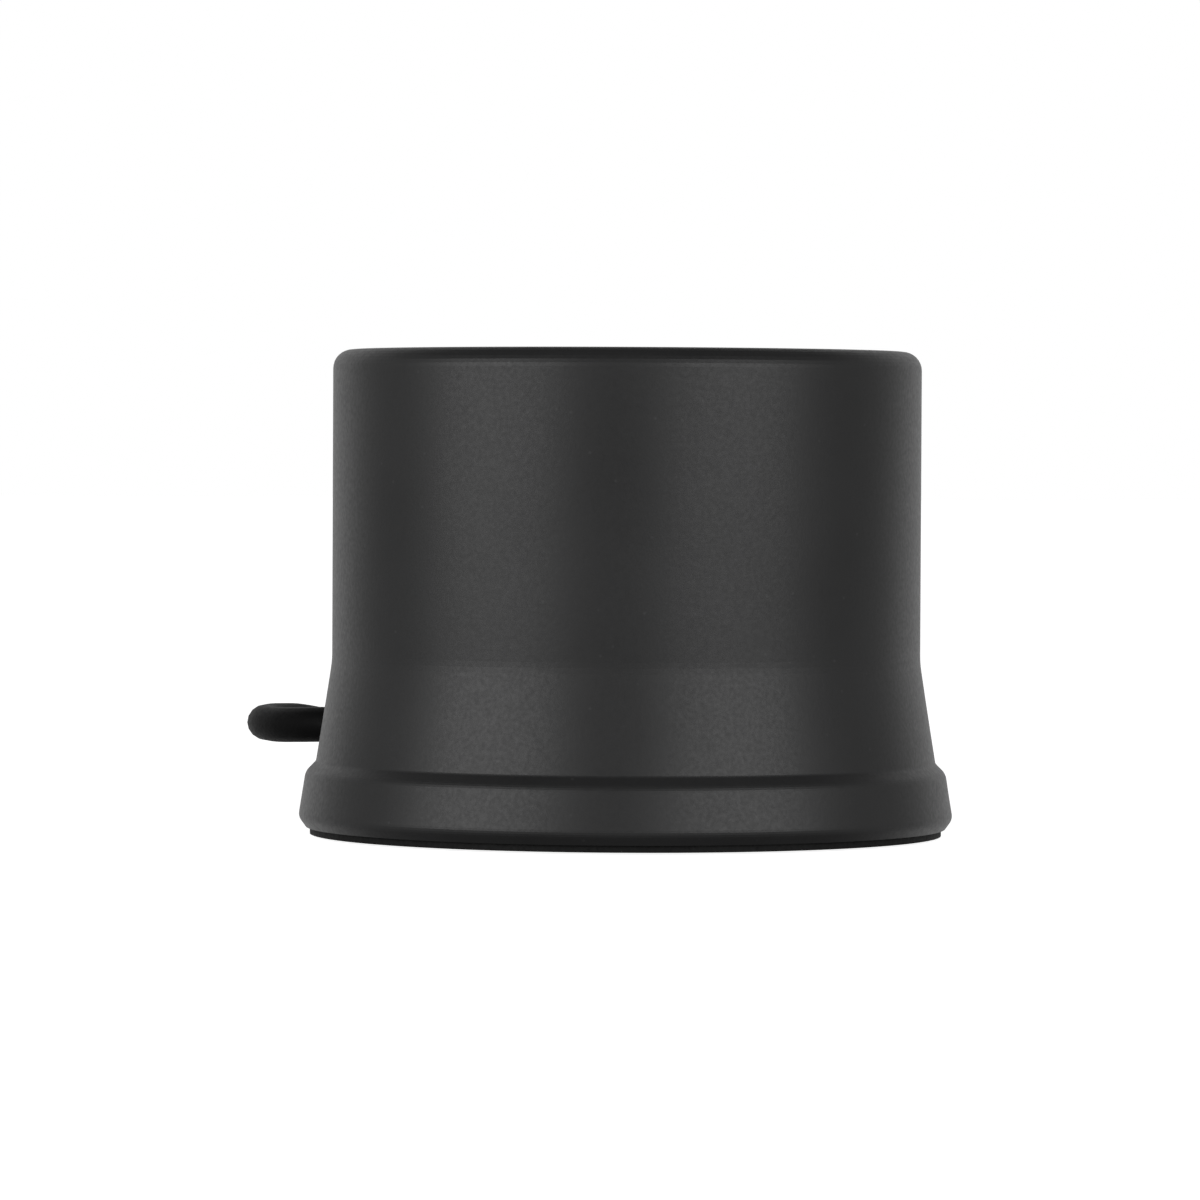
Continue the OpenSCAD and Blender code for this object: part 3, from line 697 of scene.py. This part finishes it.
def anodised(name, colour, light, roughness, depth):
    """Dyed anodic skin on blasted aluminium."""
    skin = Finish(name, colour, roughness, specular=0.5)
    grain = skin.group(GRAIN, Fine_Scale=1700.0, Broad_Scale=45.0, Speck_Scale=300.0,
                       Speck_Share=0.09)
    rings = skin.group(RINGS, Pitch=1500.0)
    broad = skin.spread(grain.outputs["Broad"], 0, 1)
    tone = skin.blend(broad, colour, light)
    tone = skin.blend(grain.outputs["Specks"], tone, tuple(1.9 * c for c in light))
    skin.link(tone, skin.shader.inputs["Base Color"])
    skin.link(skin.spread(grain.outputs["Fine"], roughness - 0.05, roughness + 0.06),
              skin.shader.inputs["Roughness"])
    under = skin.relief(rings.outputs["Rings"], 0.000004, 0.5)
    skin.relief(grain.outputs["Fine"], depth, 0.6, below=under)
    return skin.material


HOUSING_BLACK = anodised("satin_black_anodised", (0.016, 0.016, 0.0163), (0.022, 0.022, 0.0224),
                         0.42, 0.00002)
nodes["housing"].data.materials[0] = HOUSING_BLACK

# ---- Bearing carrier ----
# Turned aluminium insert let flush into the top: the well for the rotor's hub and the tube for
# both bearings. Four countersunk screws of blackened steel and an O-ring hold and seal it.

nodes["bearing_carrier"].data.materials[0] = anodised(
    "turned_black_anodised", (0.014, 0.014, 0.0145), (0.021, 0.021, 0.0216), 0.34, 0.00001)
BLACK_STEEL = bare_metal("blackened_steel", (0.07, 0.07, 0.075), 0.36)
nodes["carrier_screws"].data.materials[0] = BLACK_STEEL


def rubber(name, colour, light, roughness, pores):
    """Matt rubber with a dusting of bloom and small pores, which are dented and darkened as
    painted shade.
    """
    skin = Finish(name, colour, roughness, specular=0.25)
    grain = skin.group(GRAIN, Fine_Scale=1800.0, Broad_Scale=60.0, Speck_Scale=pores,
                       Speck_Share=0.3)
    tone = skin.blend(skin.spread(grain.outputs["Broad"], 0, 1), colour, light)
    # Painted shade: the pores are darkened in the colour as well as dented below.
    tone = skin.blend(grain.outputs["Specks"], tone, tuple(0.4 * c for c in colour))
    skin.link(tone, skin.shader.inputs["Base Color"])
    skin.link(skin.spread(grain.outputs["Fine"], roughness - 0.08, roughness + 0.08),
              skin.shader.inputs["Roughness"])
    under = skin.relief(grain.outputs["Fine"], 0.00003, 0.5)
    skin.relief(grain.outputs["Specks"], -0.00006, 0.5, below=under)
    return skin.material


SEAL_RUBBER = rubber("seal_rubber", (0.010, 0.010, 0.010), (0.015, 0.015, 0.015), 0.55, 1200.0)
nodes["carrier_seal"].data.materials[0] = SEAL_RUBBER

# ---- Spindle ----
# Ground stainless spindle, 4 mm at the rotor seat with a flat for the rotor's grub screw. A
# black moulded slinger pressed on it covers the shaft hole, and a circlip holds it from below.


def turned_metal(name, colour, roughness, pitch, depth):
    """Metal with the fine rings of turning or grinding about the spindle's axis."""
    metal = Finish(name, colour, roughness, metallic=1.0)
    grain = metal.group(GRAIN, Fine_Scale=2400.0, Broad_Scale=120.0, Speck_Scale=600.0,
                        Speck_Share=0.05)
    rings = metal.group(RINGS, Pitch=pitch)
    tone = metal.blend(metal.spread(grain.outputs["Broad"], 0, 1),
                       tuple(0.82 * c for c in colour), colour)
    tone = metal.blend(grain.outputs["Specks"], tone, tuple(0.5 * c for c in colour))
    metal.link(tone, metal.shader.inputs["Base Color"])
    metal.link(metal.spread(rings.outputs["Rings"], roughness - 0.07, roughness + 0.09),
               metal.shader.inputs["Roughness"])
    metal.relief(rings.outputs["Rings"], depth, 0.6)
    return metal.material


STAINLESS = turned_metal("ground_stainless", (0.60, 0.61, 0.62), 0.24, 6000.0, 0.000005)
SPRING_STEEL = turned_metal("spring_steel", (0.40, 0.41, 0.43), 0.33, 3500.0, 0.000006)
nodes["spindle"].data.materials[0] = STAINLESS
nodes["rain_slinger"].data.materials[0] = MOULDED_BLACK
nodes["spindle_circlip"].data.materials[0] = SPRING_STEEL

# ---- Bearings ----
# Two 16 mm ball bearings of polished steel with brass cages and thin shields. A disc spring
# loads the lower one, and a circlip in the tube holds the spring.

BEARING_STEEL = turned_metal("bearing_steel", (0.66, 0.67, 0.69), 0.16, 5000.0, 0.000003)
BALL_STEEL = bare_metal("ball_steel", (0.74, 0.75, 0.77), 0.1, 3000.0, 0.03)
BRASS = turned_metal("turned_brass", (0.72, 0.53, 0.25), 0.3, 3000.0, 0.000006)
for bearing in ("upper", "lower"):
    for piece, metal in (("outer_ring", BEARING_STEEL), ("inner_ring", BEARING_STEEL),
                         ("cage", BRASS), ("balls", BALL_STEEL), ("shields", SPRING_STEEL)):
        nodes[f"{bearing}_{piece}"].data.materials[0] = metal
nodes["preload_washer"].data.materials[0] = SPRING_STEEL
nodes["bearing_circlip"].data.materials[0] = SPRING_STEEL

# ---- Pickup ----
# Etched steel disc with 24 slots on a brass hub, locked by a grub screw, and the black fork of
# the light barrier that reads it.

nodes["slotted_disc"].data.materials[0] = turned_metal(
    "etched_steel", (0.20, 0.205, 0.215), 0.42, 2500.0, 0.000008)
nodes["disc_hub"].data.materials[0] = BRASS
nodes["hub_grub_screw"].data.materials[0] = BLACK_STEEL
nodes["optical_pickup"].data.materials[0] = MOULDED_BLACK

# ---- Circuit board ----
# Round board with green solder mask over copper tracks, on hexagonal brass pillars, with its
# chip, capacitor, chip resistors and the four-way terminal for the lead's wires.


def track_group():
    """Mask of copper tracks under a solder mask, run in straight lines and steps."""
    group, start, end = new_group(
        "copper_tracks",
        [("Vector", "NodeSocketVector", None), ("Scale", "NodeSocketFloat", 320.0)],
        [("Tracks", "NodeSocketFloat")])
    link = group.links.new
    cells = group.nodes.new("ShaderNodeTexVoronoi")
    cells.distance = "CHEBYCHEV"
    cells.voronoi_dimensions = "2D"
    link(start.outputs["Vector"], cells.inputs["Vector"])
    link(start.outputs["Scale"], cells.inputs["Scale"])
    line = group.nodes.new("ShaderNodeMath")
    line.operation = "PINGPONG"
    line.inputs[1].default_value = 0.11
    link(cells.outputs["Distance"], line.inputs[0])
    cut = group.nodes.new("ShaderNodeMapRange")
    cut.inputs["From Min"].default_value = 0.055
    cut.inputs["From Max"].default_value = 0.07
    link(line.outputs["Value"], cut.inputs["Value"])
    link(cut.outputs["Result"], end.inputs["Tracks"])
    return group


def solder_mask():
    """Glossy green lacquer, paler where it lies on copper."""
    mask = Finish("solder_mask", (0.012, 0.075, 0.03), 0.28)
    tracks = mask.group(track_group(), Scale=260.0)
    grain = mask.group(GRAIN, Fine_Scale=1800.0, Broad_Scale=110.0, Speck_Share=0.05)
    tone = mask.blend(tracks.outputs["Tracks"], (0.010, 0.060, 0.024), (0.022, 0.125, 0.05))
    mask.link(tone, mask.shader.inputs["Base Color"])
    mask.link(mask.spread(grain.outputs["Broad"], 0.24, 0.36), mask.shader.inputs["Roughness"])
    mask.relief(tracks.outputs["Tracks"], 0.00003, 0.6)
    return mask.material


FIXING_STEEL = bare_metal("fixing_stainless", (0.58, 0.585, 0.60), 0.3)
nodes["circuit_board"].data.materials[0] = solder_mask()
nodes["board_chip"].data.materials[0] = MOULDED_BLACK
nodes["board_capacitor"].data.materials[0] = bare_metal("drawn_can", (0.46, 0.47, 0.51), 0.32)
nodes["board_resistors"].data.materials[0] = moulded(
    "fired_ceramic", (0.10, 0.08, 0.065), (0.15, 0.12, 0.10), 0.6, 2600.0)
nodes["board_standoffs"].data.materials[0] = BRASS
nodes["board_screws"].data.materials[0] = FIXING_STEEL
nodes["terminal_block"].data.materials[0] = moulded(
    "terminal_green", (0.018, 0.10, 0.045), (0.026, 0.135, 0.06), 0.42)
nodes["terminal_screws"].data.materials[0] = FIXING_STEEL
nodes["lead_wires"].data.materials[0] = moulded(
    "wire_brown", (0.10, 0.045, 0.02), (0.14, 0.065, 0.03), 0.38)
nodes["crimp_ring"].data.materials[0] = FIXING_STEEL

# ---- Base plate ----
# Turned aluminium plate that closes the housing from below, with an O-ring round its edge, four
# stainless countersunk screws and four threaded holes for the mast plate.

nodes["base_plate"].data.materials[0] = anodised(
    "plate_black_anodised", (0.020, 0.020, 0.0206), (0.030, 0.030, 0.0308), 0.4, 0.00001)
nodes["base_seal"].data.materials[0] = SEAL_RUBBER
nodes["base_screws"].data.materials[0] = FIXING_STEEL

# ---- Foot pad ----
# Disc of dense cellular rubber, 1 mm thick, stuck under the body. Its punched edge is duller
# and darker than the flange above it.

nodes["foot_pad"].data.materials[0] = rubber(
    "pad_rubber", (0.006, 0.006, 0.006), (0.010, 0.010, 0.010), 0.75, 800.0)
